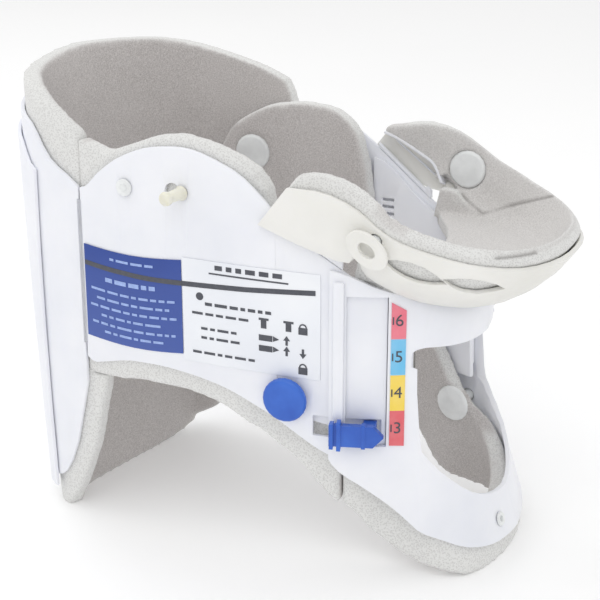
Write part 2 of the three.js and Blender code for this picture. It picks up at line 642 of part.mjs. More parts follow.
// ---- closure strap on the far side -----------------------------------------------------------
const STRAP = { bottom: 64, top: 98, sewn: -20, hinge: -44, end: -89.5, thick: 1.3 };

// The strap lies flat along the outside: over the end of the back panel, then on the side panel
// and past the rear edge of the guide leg.
const strapX = through([-90, 45.6], [-84, 45.4], [-70, 44.6], [-58, 44.3], [STRAP.hinge, 43.9], [-20, 43.9]);
const strapPlace = (y, z, offset) => new THREE.Vector3(strapX(y) + offset, y, z);

function closureStrap() {
  const { bottom, top, end, hinge, thick } = STRAP;
  const at = stations(end, hinge - GAP, 12, end + 1.5, end + 4);
  const round = through([end, 9], [end + 1.5, 4], [end + 4, 1.2], [end + 8, 0]);
  return sheet(strapPlace, at, (y) => bottom + round(y), (y) => top - round(y), 0, thick, 1);
}

// The sewn-down root of the strap, on the outside of the back panel.
function strapAnchor() {
  const { bottom, top, hinge, sewn, thick } = STRAP;
  return sheet(strapPlace, stations(hinge, sewn, 4), () => bottom, () => top, 0, thick, 1);
}

// ---- assembly --------------------------------------------------------------------------------
const ON_AXES = new THREE.Matrix4();
const TURNED = new THREE.Matrix4().makeRotationZ(Math.PI);

for (const side of SIDES) {
  const { name, rivet } = side;
  const on = (piece, { s, z }) => put(piece, axesAt(wall, side.s(s), z));
  add(`${name}_side_panel`, sidePanel(side), panelPlastic());
  add(`${name}_side_pad`, sidePad(side), greyFoam());
  const sideRivet = name === "near" ? padRivet(SIDE_FOAM_FACE, 0) : blindRivet(SIDE_FOAM_FACE, 0);
  add(`${name}_side_rivet`, on(sideRivet, rivet), rivetPlastic());
  add(`${name}_edge_bead`, edgeBead(side), panelPlastic());
  add(`${name}_safety_lock`, on(safetyLock(), LOCK), bluePlastic());
  const latchAxes = axesAt(wall, side.s(LATCH.s), LATCH.z);
  add(`${name}_latch`, put(latch(), latchAxes.multiply(name === "far" ? TURNED : ON_AXES)), bluePlastic());
  add(`${name}_guide_rail`, guideRail(side), panelPlastic());
  add(`${name}_rail_spacer`, railSpacer(side), panelPlastic());
  add(`${name}_rack_bead`, rackBead(side), panelPlastic());
  add(`${name}_size_scale`, sizeScale(side), finish(0xe8c24a, 0.4));
  const chestFace = chestPadInset(CHEST_RIVET.s) - FOAM;
  add(`${name}_chest_rivet`, on(blindRivet(chestFace, 1.1), CHEST_RIVET), rivetPlastic());
}

SIDES.forEach(({ name }, i) => {
  const onCup = ({ t, v }) => axesOn(cupSkin, bothWays(t)[i], v);
  add(`${name}_eyelet`, put(eyelet(), onCup(eyeletAt)), chinPlastic());
  add(`${name}_chin_rivet`, put(chinRivet(), onCup(chinRivetAt)), rivetPlastic());
});

const [near, far] = SIDES;
add("tube_hook", put(tubeHook(), axesAt(wall, HOOK.s, HOOK.z)), panelPlastic());
add("sizing_sticker", label(STICKER, near), bluePlastic());
add("instruction_label", label(CLEAR_LABEL, near), finish(0xf2f3f6, 0.3));
add("loop_patch", label(LOOP_PATCH, far, 0.9), finish(0x1f2f5c, 0.9));
add("grip_tab", put(gripTab(), axesAt(wall, far.s(GRIP.s), GRIP.z)), panelPlastic());
add("front_rivet", put(frontRivet(), axesAt(wall, FRONT_RIVET.s, FRONT_RIVET.z)), rivetPlastic());
add("front_plate", frontPlate(), panelPlastic());
add("chest_pad", chestPad(), greyFoam());
add("chin_cup", chinCup(), chinPlastic());
add("chin_pad", chinPad(), greyFoam());
add("back_panel", backPanel(), panelPlastic());
add("back_pad", backPad(), greyFoam());
add("back_stiffener", backStiffener(), panelPlastic());
add("closure_strap", closureStrap(), finish(0x1f2f5c, 0.9));
add("strap_anchor", strapAnchor(), finish(0x1f2f5c, 0.9));

// The origin sits under the middle of the collar's own box.
const box = new THREE.Box3().setFromObject(group);
const middle = box.getCenter(new THREE.Vector3());
group.position.set(-middle.x, -middle.y, -box.min.z);

export default group;
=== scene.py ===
import json
import math

import bmesh
import bpy
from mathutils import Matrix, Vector, noise
from mathutils.bvhtree import BVHTree
from mathutils.geometry import intersect_point_line
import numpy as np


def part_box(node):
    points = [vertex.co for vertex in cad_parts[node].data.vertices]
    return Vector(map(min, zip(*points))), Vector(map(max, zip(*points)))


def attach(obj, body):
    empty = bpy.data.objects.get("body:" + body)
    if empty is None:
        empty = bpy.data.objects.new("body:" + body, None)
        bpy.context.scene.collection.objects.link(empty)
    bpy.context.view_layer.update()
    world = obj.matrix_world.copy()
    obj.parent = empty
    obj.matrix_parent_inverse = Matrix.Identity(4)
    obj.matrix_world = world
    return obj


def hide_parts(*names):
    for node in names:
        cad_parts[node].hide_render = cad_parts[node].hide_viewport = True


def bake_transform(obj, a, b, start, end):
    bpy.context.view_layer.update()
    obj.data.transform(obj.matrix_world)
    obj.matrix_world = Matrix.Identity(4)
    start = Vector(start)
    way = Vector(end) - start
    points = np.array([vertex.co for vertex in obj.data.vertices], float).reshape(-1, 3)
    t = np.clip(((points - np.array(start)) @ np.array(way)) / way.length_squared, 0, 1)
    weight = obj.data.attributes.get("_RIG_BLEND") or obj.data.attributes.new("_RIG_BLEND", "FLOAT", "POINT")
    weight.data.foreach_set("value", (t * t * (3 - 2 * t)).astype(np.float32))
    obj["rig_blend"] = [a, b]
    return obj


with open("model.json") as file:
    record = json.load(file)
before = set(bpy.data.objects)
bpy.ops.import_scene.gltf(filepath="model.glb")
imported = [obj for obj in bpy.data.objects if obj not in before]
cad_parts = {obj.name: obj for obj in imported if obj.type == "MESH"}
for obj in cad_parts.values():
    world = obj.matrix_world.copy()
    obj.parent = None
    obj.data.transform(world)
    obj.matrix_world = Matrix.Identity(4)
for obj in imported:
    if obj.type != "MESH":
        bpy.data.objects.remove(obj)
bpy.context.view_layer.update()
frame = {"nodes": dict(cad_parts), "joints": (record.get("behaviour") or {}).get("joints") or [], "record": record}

MM = 0.001
SIDES = ("near", "far")


# ---- the wall of the collar in plan ---------------------------------------------------------------
# Millimetres in the collar's plan frame. The hinge of the back panel fixes where that frame lies.
HINGE_IN_PLAN = (-39.6, -2.0, 60.0)
WALL_START = (-39.5, -1.0, math.radians(-7))
WALL_ARCS = ((82, math.radians(5)), (31, math.radians(35)), (4, math.radians(61)),
             (31, math.radians(90)))
FLARE = {"out": 14.2, "top": 66.0, "power": 1.7, "from": 103.0, "to": 126.0}


def hinge_point():
    """The middle of the back panel's hinge, in metres."""
    return next(j for j in frame["joints"] if j["name"] == "back_hinge")["pos_m"]


ORIGIN = Vector([at / MM - plan for at, plan in zip(hinge_point(), HINGE_IN_PLAN)])


def smoothstep(x, low, high):
    t = min(1.0, max(0.0, (x - low) / (high - low)))
    return t * t * (3 - 2 * t)


def wall(s, z, offset, side="near"):
    """A point at run s round the near half of the wall, or its mirror image, in metres."""
    x, y, heading = WALL_START
    left = s
    for i, (length, goal) in enumerate(WALL_ARCS):
        run = left if i == len(WALL_ARCS) - 1 else min(left, length)
        turn = (goal - heading) / length
        end = heading + turn * run
        x += (math.cos(heading) - math.cos(end)) / turn
        y -= (math.sin(end) - math.sin(heading)) / turn
        left -= run
        heading = end
    low = min(1.0, max(0.0, 1 - z / FLARE["top"])) ** FLARE["power"]
    out = offset + FLARE["out"] * smoothstep(s, FLARE["from"], FLARE["to"]) * low
    x -= math.cos(heading) * out
    y -= math.sin(heading) * out
    return placed((-x if side == "far" else x, y, z))


def placed(point):
    """A point of the part's plan frame, in millimetres, as a point of the scene."""
    return (Vector(point) + ORIGIN) * MM


def smooth_path(points, steps=6):
    """Catmull-Rom points through the given ones."""
    ends = [2 * points[0] - points[1]] + points + [2 * points[-1] - points[-2]]
    path = []
    for a, b, c, d in zip(ends, ends[1:], ends[2:], ends[3:]):
        for i in range(steps):
            t = i / steps
            path.append(0.5 * (2 * b + (c - a) * t + (2 * a - 5 * b + 4 * c - d) * t * t
                               + (3 * b - a - 3 * c + d) * t ** 3))
    return path + [points[-1]]


# ---- node helpers ---------------------------------------------------------------------------------
def linear(*srgb):
    """A colour given as 0 to 255, as the shader's linear values."""
    return [((c / 255 + 0.055) / 1.055) ** 2.4 if c > 10 else c / 255 / 12.92 for c in srgb] + [1.0]


def level(value):
    """A grey that steers a mix."""
    return [value, value, value, 1]


class Finish:
    """A material under construction: a principled shader fed by object-space textures."""

    def __init__(self, name, roughness, **sockets):
        self.material = bpy.data.materials.new(name)
        self.material.use_nodes = True
        self.tree = self.material.node_tree
        self.shader = self.tree.nodes["Principled BSDF"]
        self.shader.inputs["Roughness"].default_value = roughness
        for socket, value in sockets.items():
            self.shader.inputs[socket.replace("_", " ")].default_value = value
        self.place = self.node("ShaderNodeTexCoord").outputs["Object"]
        self.height = None

    def node(self, kind, **settings):
        made = self.tree.nodes.new(kind)
        for key, value in settings.items():
            setattr(made, key, value)
        return made

    def link(self, source, target):
        self.tree.links.new(source, target)

    def noise(self, scale, detail=3.0, roughness=0.5, stretch=None):
        texture = self.node("ShaderNodeTexNoise")
        texture.inputs["Scale"].default_value = scale
        texture.inputs["Detail"].default_value = detail
        texture.inputs["Roughness"].default_value = roughness
        place = self.place
        if stretch:
            mapping = self.node("ShaderNodeMapping")
            mapping.inputs["Scale"].default_value = stretch
            self.link(place, mapping.inputs["Vector"])
            place = mapping.outputs["Vector"]
        self.link(place, texture.inputs["Vector"])
        return texture.outputs["Fac"]

    def cells(self, scale):
        texture = self.node("ShaderNodeTexVoronoi")
        texture.inputs["Scale"].default_value = scale
        self.link(self.place, texture.inputs["Vector"])
        return texture.outputs["Distance"]

    def ramp(self, source, *stops, sharp=False):
        ramp = self.node("ShaderNodeValToRGB")
        if sharp:
            ramp.color_ramp.interpolation = "CONSTANT"
        elements = ramp.color_ramp.elements
        while len(elements) < len(stops):
            elements.new(0.5)
        for element, (position, colour) in zip(elements, stops):
            element.position = position
            element.color = colour
        self.link(source, ramp.inputs["Fac"])
        return ramp.outputs["Color"]

    def mix(self, factor, low, high):
        mix = self.node("ShaderNodeMix", data_type="RGBA")
        for socket, value in (("Factor", factor), ("A", low), ("B", high)):
            target = next(i for i in mix.inputs if i.name == socket and i.enabled)
            if isinstance(value, (int, float, list, tuple)):
                target.default_value = value
            else:
                self.link(value, target)
        return next(o for o in mix.outputs if o.enabled)

    def spread(self, source, low, high):
        """Lets a texture vary the roughness between two values."""
        span = self.node("ShaderNodeMapRange")
        span.inputs["To Min"].default_value = low
        span.inputs["To Max"].default_value = high
        self.link(source, span.inputs["Value"])
        self.link(span.outputs["Result"], self.shader.inputs["Roughness"])

    def bump(self, source, depth, strength=1.0):
        """Relief of the given depth in millimetres, over any relief that is there already."""
        bump = self.node("ShaderNodeBump")
        bump.inputs["Distance"].default_value = depth * MM
        bump.inputs["Strength"].default_value = strength
        self.link(source, bump.inputs["Height"])
        if self.height:
            self.link(self.height, bump.inputs["Normal"])
        self.height = bump.outputs["Normal"]
        self.link(self.height, self.shader.inputs["Normal"])

    def colour(self, source):
        self.link(source, self.shader.inputs["Base Color"])

    def mottle(self, scale, dark, light, span=(0.35, 0.65)):
        """A base colour that drifts softly between two tints."""
        self.colour(self.ramp(self.noise(scale), (span[0], dark), (span[1], light)))

    def rise(self, low, high):
        """0 at the height low, growing to 1 at the height high, in metres."""
        split = self.node("ShaderNodeSeparateXYZ")
        self.link(self.place, split.inputs[0])
        span = self.node("ShaderNodeMapRange")
        span.inputs["From Min"].default_value = low
        span.inputs["From Max"].default_value = high
        self.link(split.outputs["Z"], span.inputs["Value"])
        return span.outputs["Result"]

    def scatter(self, *radius):
        self.shader.inputs["Subsurface Radius"].default_value = radius


# ---- materials ------------------------------------------------------------------------------------
SIZES = 4                                # cells of the size scale
SIZE_CELL = 11.5                         # height of one cell, in millimetres
SIZE_FIRST = 3                           # number of the smallest size
BLUE_DEEPENS = (0.06, 0.096)             # heights between which the sticker darkens, in metres


def moulded(name, light, shade, roughness=0.36):
    """Thin moulded sheet: cloudy whiteness, orange-peel gloss, faint scuffs."""
    finish = Finish(name, roughness, Specular_IOR_Level=0.45, Subsurface_Weight=0.08)
    finish.scatter(0.004, 0.004, 0.005)
    finish.shader.inputs["Subsurface Scale"].default_value = 0.4
    cloud = finish.noise(26, 4, 0.55)
    finish.colour(finish.ramp(cloud, (0.3, shade), (0.62, light)))
    finish.spread(finish.noise(120, 5, 0.6), roughness - 0.06, roughness + 0.14)
    finish.bump(finish.noise(700, 2), 0.04, 0.5)
    finish.bump(finish.noise(60, 2), 0.12, 0.25)
    finish.bump(finish.noise(260, 6, 0.7, stretch=(1, 0.15, 6)), 0.03, 0.35)
    return finish.material


def panel_plastic():
    return moulded("panel_plastic", linear(243, 244, 249), linear(233, 235, 242))


def chin_plastic():
    return moulded("chin_plastic", linear(238, 237, 233), linear(228, 227, 221), 0.42)


def grey_foam():
    """Closed-cell foam: a warm grey skin with fine grain, and paler cut edges with open cells."""
    finish = Finish("grey_foam", 0.85, Specular_IOR_Level=0.25, Sheen_Weight=0.15,
                    Sheen_Roughness=0.5)
    grain = finish.noise(2300, 3, 0.7)
    cells = finish.cells(1700)
    cloud = finish.noise(35, 3)
    speckle = finish.ramp(grain, (0.36, linear(177, 172, 170)), (0.64, linear(214, 210, 208)))
    skin = finish.mix(finish.ramp(cloud, (0.35, level(0)), (0.7, level(0.25))), speckle,
                      linear(214, 210, 208))
    cut = finish.mix(finish.ramp(cells, (0.05, level(0)), (0.6, level(1))),
                     linear(200, 199, 197), linear(227, 227, 225))
    edge = finish.node("ShaderNodeAttribute", attribute_name="cut")
    painted_crease_shade = finish.node("ShaderNodeAttribute", attribute_name="painted_crease_shade")
    surface = finish.mix(edge.outputs["Fac"], skin, cut)
    # Painted shade: the crease attribute darkens the foam towards this grey in the bottoms of the chin creases.
    finish.colour(finish.mix(painted_crease_shade.outputs["Fac"], surface, linear(120, 115, 113)))
    finish.bump(grain, 0.14, 0.6)
    finish.bump(cells, 0.14, 0.4)
    finish.bump(finish.noise(90, 2), 0.4, 0.25)
    return finish.material


def rivet_plastic():
    """Smooth grey-white plastic, slightly translucent."""
    finish = Finish("rivet_plastic", 0.38, Specular_IOR_Level=0.45, Subsurface_Weight=0.15)
    finish.scatter(0.003, 0.003, 0.003)
    finish.mottle(180, linear(226, 228, 228), linear(238, 240, 240))
    finish.bump(finish.noise(900, 3), 0.04, 0.4)
    return finish.material


def hook_plastic():
    """Milky moulding, thin enough to let a little light through."""
    finish = Finish("hook_plastic", 0.32, Specular_IOR_Level=0.5, Subsurface_Weight=0.35)
    finish.scatter(0.004, 0.004, 0.003)
    finish.mottle(150, linear(222, 219, 202), linear(236, 234, 220))
    finish.bump(finish.noise(900, 2), 0.04, 0.4)
    return finish.material


def blue_plastic():
    """Glossy moulded blue, with the fine haze of handling."""
    finish = Finish("blue_plastic", 0.3, Specular_IOR_Level=0.5)
    finish.mottle(90, linear(44, 92, 190), linear(58, 110, 208))
    finish.spread(finish.noise(300, 4, 0.6), 0.22, 0.42)
    finish.bump(finish.noise(800, 2), 0.04, 0.4)
    return finish.material


def blue_label():
    """Printed film: deep blue, a little lighter towards the foot."""
    finish = Finish("blue_label", 0.28, Coat_Weight=0.3, Coat_Roughness=0.15)
    base = finish.ramp(finish.rise(*BLUE_DEEPENS), (0.0, linear(62, 92, 172)),
                       (1.0, linear(34, 62, 140)))
    finish.colour(finish.mix(finish.noise(60, 3), base, linear(44, 76, 160)))
    finish.bump(finish.noise(500, 2), 0.03, 0.3)
    return finish.material


def clear_label():
    """Clear film over the white sheet."""
    finish = Finish("clear_label", 0.24, Coat_Weight=0.25, Coat_Roughness=0.12)
    finish.mottle(30, linear(233, 236, 243), linear(243, 245, 249), span=(0.3, 0.65))
    finish.bump(finish.noise(240, 2), 0.04, 0.3)
    return finish.material


def size_label():
    """Four printed cells, one colour for each size, a little faded."""
    finish = Finish("size_label", 0.3, Coat_Weight=0.2, Coat_Roughness=0.15)
    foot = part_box("near_size_scale")[0].z
    height = finish.rise(foot, foot + SIZES * SIZE_CELL * MM)
    cells = finish.ramp(height, (0.0, linear(226, 92, 102)), (0.25, linear(246, 214, 78)),
                        (0.5, linear(108, 193, 236)), (0.75, linear(236, 114, 134)), sharp=True)
    fade = finish.ramp(finish.noise(220, 3), (0.3, level(0)), (0.8, level(0.12)))
    finish.colour(finish.mix(fade, cells, linear(250, 244, 240)))
    finish.bump(finish.noise(500, 2), 0.03, 0.3)
    return finish.material


def navy_strap():
    """Hook and loop tape: a dense nap over a woven base."""
    finish = Finish("navy_strap", 0.9, Sheen_Weight=0.4, Sheen_Roughness=0.4)
    nap = finish.noise(1500, 4, 0.7)
    finish.colour(finish.mix(nap, linear(22, 32, 66), linear(48, 62, 108)))
    finish.bump(nap, 0.3, 0.8)
    finish.bump(finish.cells(900), 0.2, 0.5)
    return finish.material


def ink(name, *srgb):
    """Matte print, worn thin in places."""
    finish = Finish(name, 0.45)
    base = linear(*srgb)
    worn = [c * 1.25 + 0.01 for c in base[:3]] + [1.0]
    finish.colour(finish.ramp(finish.noise(700, 4, 0.7), (0.4, base), (0.75, worn)))
    return finish.material


# ---- mesh helpers ---------------------------------------------------------------------------------
SHARP_ANGLE = math.radians(32)           # corners sharper than this keep a hard edge
BEVEL_ANGLE = math.radians(38)           # corners sharper than this are rounded over
WELD = 2e-6                              # metres between corners that are one


def new_piece(name, mesh, material, body):
    """An object with one material, riding on a body."""
    piece = bpy.data.objects.new(name, mesh)
    bpy.context.scene.collection.objects.link(piece)
    mesh.materials.clear()
    mesh.materials.append(material)
    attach(piece, body)
    return piece


def body_of(node):
    """The body that a CAD node rides on."""
    bodies = frame["record"]["behaviour"]["bodies"]
    return next(body for body, nodes in bodies.items() if node in nodes)


def mesh_from(bm, name):
    """A mesh from a bmesh, which is freed."""
    mesh = bpy.data.meshes.new(name)
    bm.to_mesh(mesh)
    bm.free()
    return mesh


def mesh_of(curve):
    """The mesh of a curve or text, whose own object is removed again."""
    holder = bpy.data.objects.new(curve.name, curve)
    bpy.context.scene.collection.objects.link(holder)
    graph = bpy.context.evaluated_depsgraph_get()
    mesh = bpy.data.meshes.new_from_object(holder.evaluated_get(graph))
    bpy.data.objects.remove(holder)
    return mesh


def welded(node):
    """A copy of a CAD node's mesh with its shared corners joined."""
    mesh = frame["nodes"][node].data.copy()
    bm = bmesh.new()
    bm.from_mesh(mesh)
    bmesh.ops.remove_doubles(bm, verts=bm.verts, dist=WELD)
    bm.to_mesh(mesh)
    bm.free()
    for name in [a.name for a in mesh.attributes if a.name.startswith("custom_normal")]:
        mesh.attributes.remove(mesh.attributes[name])
    return mesh


def shade(mesh):
    """Smooth shading with the true corners kept sharp."""
    bm = bmesh.new()
    bm.from_mesh(mesh)
    for face in bm.faces:
        face.smooth = True
    for edge in bm.edges:
        edge.smooth = not (len(edge.link_faces) == 2 and edge.calc_face_angle(0) > SHARP_ANGLE)
    bm.to_mesh(mesh)
    bm.free()


def applied(piece):
    """Applies the piece's modifiers."""
    graph = bpy.context.evaluated_depsgraph_get()
    mesh = bpy.data.meshes.new_from_object(piece.evaluated_get(graph))
    piece.modifiers.clear()
    piece.data = mesh
    return piece


def rounded(node, material, width, segments=2):
    """Stands for a moulded CAD node: the same shape with its corners rounded over."""
    piece = new_piece(node + "_shell", welded(node), material, body_of(node))
    bevel = piece.modifiers.new("bevel", "BEVEL")
    bevel.width = width * MM
    bevel.segments = segments
    bevel.limit_method = "ANGLE"
    bevel.angle_limit = BEVEL_ANGLE
    bevel.use_clamp_overlap = True
    applied(piece)
    shade(piece.data)
    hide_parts(node)
    return piece


# ---- foam -----------------------------------------------------------------------------------------
SHEET_FOAM = {"thickness": 6 * MM, "voxel": 0.9 * MM, "rounding": 6}
CHIN_FOAM = {"thickness": 5 * MM, "voxel": 0.6 * MM, "rounding": 9}
WAVE_HEIGHT, WAVE_SCALE = 0.3 * MM, 32   # waviness of every pad
WAVE_SHIFT = 3.7                         # keeps the waves of one pad from repeating on the next

# The near side pad and the back pad meet at the hinge and are cut a little long there.
END_ZONE = 1.2 * MM
SIDE_PAD_EXTRA, BACK_PAD_EXTRA = 1.4 * MM, 1.0 * MM
HINGE_FOOT = 51 * MM

# Where the foam shows a cut edge: how deep it is behind the surface, in thicknesses, and how far
# the surface turns away from the neck or the chin.
EDGE_DEPTH = (1.2, 1.7)
BEHIND = (-0.6, -0.2)
RAY_START, RAY_REACH = 0.3 * MM, 30 * MM
NECK_FRONT, NECK_BACK = -95.0, 5.0
CHIN_CENTRE = (0, -105, 150)
CHIN_PAINTED_LIGHT = 0.45                     # painted light: the chin foam is painted paler than the rest, for the light that falls into the chin

# The floor of the chin foam in plan, its heights, and the webs that join it to the wings.
CHIN_FLOOR = ((36.4, -94), (29, -98), (20, -103), (10, -106.5), (0, -108))
CHIN_FLOOR_FRONT = ((36, -108), (33.5, -119), (28, -129), (18, -137), (0, -140.5))
CHIN_FLOOR_HEIGHT = (90, 95)
CHIN_FLOOR_REACH = 97                    # everything level below this is floor
CHIN_WEB_FACES = (33.2, 37.4)
CHIN_WEB = ((-93.5, 93.5), (-95.5, 103.5), (-101, 103), (-111, 93.5))
LEVEL_NORMAL = 0.8

# The last of these is how dark the painted shade in the bottoms of the chin creases is.
CREASE_DEPTH, CREASE_WIDTH, CREASE_PAINTED_SHADE = 0.5 * MM, 0.5 * MM, 0.6
CHIN_CREASES = (
    ((40.2, -95, 105.2), (36, -103.1, 101.1), (33.1, -110.4, 96.7)),
    ((33.1, -110.4, 96.7), (33.4, -120.9, 100.7), (29.4, -134.9, 106.6)),
    ((-32, -135.2, 104.4), (-26.7, -139.9, 104.1), (-20.8, -143.8, 103.9)),
)


def stretch_to_hinge(mesh, node):
    """Lengthens the ends of the two pads that press on each other at the hinge."""
    if node == "near_side_pad":
        rear = max(v.co.y for v in mesh.vertices)
        for vertex in mesh.vertices:
            if vertex.co.y > rear - END_ZONE:
                vertex.co.y += SIDE_PAD_EXTRA
    if node == "back_pad":
        near_half = [v for v in mesh.vertices if v.co.x < 0]
        front = min(v.co.y for v in near_half)
        for vertex in near_half:
            if vertex.co.y < front + END_ZONE and vertex.co.z > HINGE_FOOT:
                vertex.co.y -= BACK_PAD_EXTRA


def add_prism(bm, *outlines):
    """Adds the closed solid between two matching outlines."""
    first, second = ([bm.verts.new(placed(p)) for p in outline] for outline in outlines)
    bm.faces.new(first)
    bm.faces.new(second)
    for i in range(len(first)):
        k = (i + 1) % len(first)
        bm.faces.new((first[i], first[k], second[k], second[i]))


def chin_floor(mesh):
    """Adds the floor of the chin foam, whose rear edge curves in towards the throat."""
    rear = list(CHIN_FLOOR) + [(-x, y) for x, y in CHIN_FLOOR[-2::-1]]
    front = [(-x, y) for x, y in CHIN_FLOOR_FRONT] + list(CHIN_FLOOR_FRONT[-2::-1])
    bm = bmesh.new()
    bm.from_mesh(mesh)
    add_prism(bm, *([(x, y, z) for x, y in rear + front] for z in CHIN_FLOOR_HEIGHT))
    for side in (-1, 1):
        add_prism(bm, *([(side * x, y, z) for y, z in CHIN_WEB] for x in CHIN_WEB_FACES))
    bmesh.ops.recalc_face_normals(bm, faces=bm.faces)
    bm.to_mesh(mesh)
    bm.free()


def remeshed(node, material, foam):
    """A foam pad from its CAD solid: remeshed finely, then relaxed so that its edges round over."""
    mesh = welded(node)
    stretch_to_hinge(mesh, node)
    if node == "chin_pad":
        chin_floor(mesh)
    piece = new_piece(node + "_foam", mesh, material, body_of(node))
    remesh = piece.modifiers.new("remesh", "REMESH")
    remesh.mode = "VOXEL"
    remesh.voxel_size = foam["voxel"]
    relax = piece.modifiers.new("relax", "SMOOTH")
    relax.factor = 0.5
    relax.iterations = foam["rounding"]
    return applied(piece)


def neck_side(node, point):
    """The direction from a point of a pad towards the neck or the chin."""
    if node == "chin_pad":
        return (placed(CHIN_CENTRE) - point).normalized()
    front, back = placed((0, NECK_FRONT, 0)), placed((0, NECK_BACK, 0))
    y = min(back.y, max(front.y, point.y))
    return Vector((front.x - point.x, y - point.y, 0)).normalized()


def averaged(mesh, values, rounds=2):
    """Values at the vertices of a mesh, evened out with those of their neighbours."""
    neighbours = [[] for _ in values]
    for edge in mesh.edges:
        a, b = edge.vertices
        neighbours[a].append(b)
        neighbours[b].append(a)
    for _ in range(rounds):
        values = [(value + sum(values[n] for n in near)) / (1 + len(near))
                  for value, near in zip(values, neighbours)]
    return values


def mark_cut_edges(mesh, node, thickness):
    """Writes the attribute cut: 0 on the skin towards the wearer, 1 on the cut edges and behind. On the chin pad
    the skin is lifted towards 1 by painted light.
    """
    tree = BVHTree.FromPolygons([v.co for v in mesh.vertices], [p.vertices for p in mesh.polygons])
    floor_height = placed((0, 0, CHIN_FLOOR_REACH)).z
    values = []
    for vertex in mesh.vertices:
        normal = vertex.normal.copy()
        hit = tree.ray_cast(vertex.co - normal * RAY_START, -normal, RAY_REACH)
        depth = hit[3] if hit[0] is not None else RAY_REACH
        deep = smoothstep(depth, *(thickness * times for times in EDGE_DEPTH))
        if node == "chin_pad" and normal.z > LEVEL_NORMAL and vertex.co.z < floor_height:
            deep = 0
        behind = 1 - smoothstep(normal.dot(neck_side(node, vertex.co)), *BEHIND)
        values.append(max(deep, behind))
    # Painted light: the chin pad's skin is lifted towards the paler cut colour.
    base = CHIN_PAINTED_LIGHT if node == "chin_pad" else 0
    values = [base + (1 - base) * value for value in averaged(mesh, values)]
    cut = mesh.attributes.new("cut", "FLOAT", "POINT")
    cut.data.foreach_set("value", values)


def crumple(mesh, seed):
    """The slight waviness of a foam sheet."""
    shift = Vector((seed, seed * 0.7, seed * 1.3))
    normals = [v.normal.copy() for v in mesh.vertices]
    for vertex, normal in zip(mesh.vertices, normals):
        vertex.co += normal * WAVE_HEIGHT * noise.noise(vertex.co * WAVE_SCALE + shift)


def distance_to_path(point, path):
    nearest = math.inf
    for a, b in zip(path, path[1:]):
        foot, along = intersect_point_line(point, a, b)
        if along < 0:
            foot = a
        elif along > 1:
            foot = b
        nearest = min(nearest, (point - foot).length)
    return nearest


def crease_chin(mesh):
    """Folds of the chin foam: fine grooves, with painted shade darkening their bottoms."""
    paths = [smooth_path([placed(p) for p in line]) for line in CHIN_CREASES]
    normals = [v.normal.copy() for v in mesh.vertices]
    dark = []
    for vertex, normal in zip(mesh.vertices, normals):
        near = min(distance_to_path(vertex.co, path) for path in paths)
        groove = math.exp(-(near / CREASE_WIDTH) ** 2)
        vertex.co -= normal * CREASE_DEPTH * groove
        # Painted shade: the groove's bottom is darkened in the colour, where light does not reach.
        dark.append(CREASE_PAINTED_SHADE * groove)
    painted_crease_shade = mesh.attributes.new("painted_crease_shade", "FLOAT", "POINT")
    painted_crease_shade.data.foreach_set("value", dark)


def foam_pad(node, material, seed):
    """Stands for a CAD pad: soft edges, paler where it is cut, slightly wavy."""
    foam = CHIN_FOAM if node == "chin_pad" else SHEET_FOAM
    pad = remeshed(node, material, foam)
    mark_cut_edges(pad.data, node, foam["thickness"])
    crumple(pad.data, seed)
    if node == "chin_pad":
        crease_chin(pad.data)
    for polygon in pad.data.polygons:
        polygon.use_smooth = True
    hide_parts(node)
    return pad


# ---- the folded edge of the chin cup on the far side ----------------------------------------------
WING_INNER = ((36.9, -95.0, 104.4), (37.5, -91.8, 110.3), (37.4, -87, 113.5),
              (37.2, -82.4, 116.1), (37, -78.3, 118.2), (36.8, -74.4, 119.6))
WING_OUTER = ((41.0, -95.2, 102.6), (42.4, -91.5, 109.8), (42.4, -86.8, 113.6),
              (42.2, -82.4, 116.5), (42, -78.4, 118.8), (41.8, -74.3, 119.8))
WING_RIDGES = (((43, -75, 117), (42.9, -83, 111), (42.3, -89, 106.8), (41.6, -93.7, 103.5)),
               ((41, -69, 114), (41, -78, 106), (40.6, -83, 102.3), (40, -88, 99)))
WING_OVERLAP_INNER, WING_OVERLAP_OUTER = 0.35 * MM, 0.1 * MM
WING_SHEET, WING_ROUNDING = 0.9 * MM, 0.3 * MM
RIDGE_RADIUS = 0.35 * MM


def wing_lining(material):
    """The strip of sheet turned in under the lower edge of the chin foam."""
    inner, outer = (smooth_path([placed(p) for p in line]) for line in (WING_INNER, WING_OUTER))
    bm = bmesh.new()
    grid = []
    for a, b in zip(inner, outer):
        across = (b - a).normalized()
        row = (a - across * WING_OVERLAP_INNER, a.lerp(b, 0.33), a.lerp(b, 0.66),
               b + across * WING_OVERLAP_OUTER)
        grid.append([bm.verts.new(point) for point in row])
    for a, b in zip(grid, grid[1:]):
        for k in range(len(a) - 1):
            bm.faces.new((a[k], a[k + 1], b[k + 1], b[k]))
    lining = mesh_from(bm, "wing_lining")
    piece = new_piece("wing_lining", lining, material, "shell")
    sheet = piece.modifiers.new("sheet", "SOLIDIFY")
    sheet.thickness = WING_SHEET
    sheet.offset = 0
    round_over = piece.modifiers.new("round", "BEVEL")
    round_over.width = WING_ROUNDING
    round_over.segments = 2
    round_over.limit_method = "ANGLE"
    applied(piece)
    shade(piece.data)


